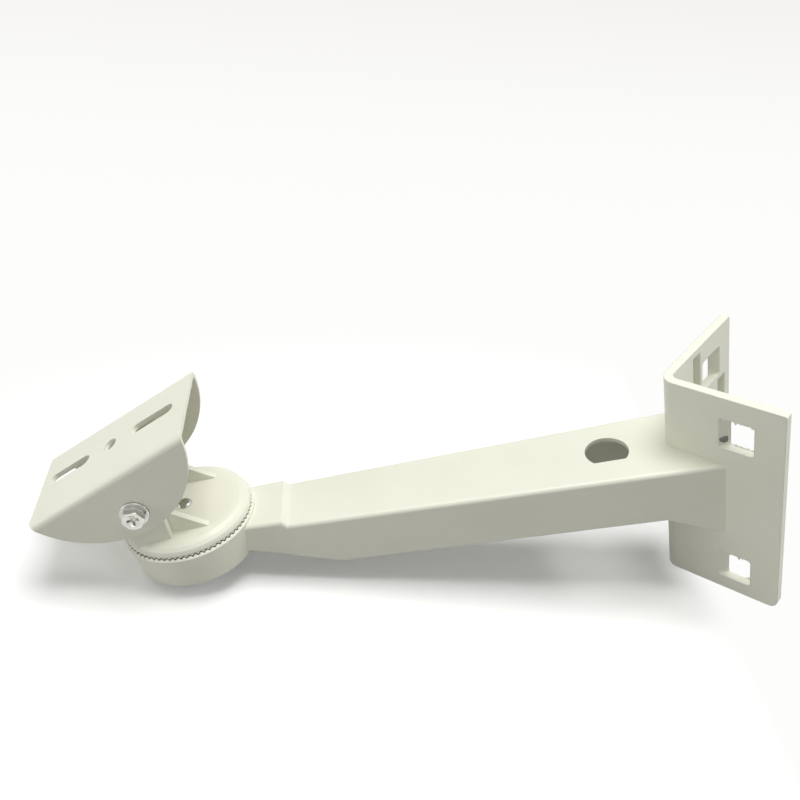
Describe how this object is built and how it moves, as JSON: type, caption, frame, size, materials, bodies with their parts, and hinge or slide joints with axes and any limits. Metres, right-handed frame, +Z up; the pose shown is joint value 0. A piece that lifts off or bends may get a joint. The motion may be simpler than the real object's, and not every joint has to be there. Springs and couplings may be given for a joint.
{
  "type": "camera pole mount bracket",
  "caption": "Cast arm with a V plate that straps to a pole or wall corner, a toothed swivel head and a tilting slotted plate for a camera.",
  "frame": {"origin": "inner fold corner of the V plate, half way up the plate", "axes": "+X towards the pole, away from the arm; +Y to the side with the camera slots' offset; +Z up along the fold line"},
  "size_m": [0.2865, 0.0728, 0.1295],
  "materials": {
    "casting_coat": "ivory satin powder coat on a die casting",
    "swivel_coat": "ivory satin powder coat on a die casting",
    "sheet_coat": "ivory satin powder coat on folded sheet steel",
    "bright_screw": "bright nickel plate",
    "bright_washer": "bright zinc plate"
  },
  "bodies": {
    "arm": {"arm_casting": "casting_coat"},
    "centre_bolt": {"centre_bolt": "bright_screw", "centre_flat_washer": "bright_washer", "centre_spring_washer": "bright_washer"},
    "swivel": {"swivel_base": "swivel_coat", "tilt_flat_washer_front": "bright_washer", "tilt_spring_washer_front": "bright_washer", "tilt_screw_front": "bright_screw", "tilt_flat_washer_rear": "bright_washer", "tilt_spring_washer_rear": "bright_washer", "tilt_screw_rear": "bright_screw"},
    "camera_plate": {"camera_plate": "sheet_coat"}
  },
  "joints": [
    {"name": "pan", "type": "hinge", "parent": "arm", "child": "centre_bolt", "pos_m": [-0.1993, 0, 0.0254], "axis": [0, 0, 1], "continuous": true},
    {"name": "pan_lift", "type": "slide", "parent": "centre_bolt", "child": "swivel", "axis": [0, 0, 1], "range_m": [0, 0.0016]},
    {"name": "tilt", "type": "hinge", "parent": "swivel", "child": "camera_plate", "pos_m": [-0.2109, 0, 0.048], "axis": [0, 1, 0], "range_deg": [-36.8, 53.2]}
  ]
}
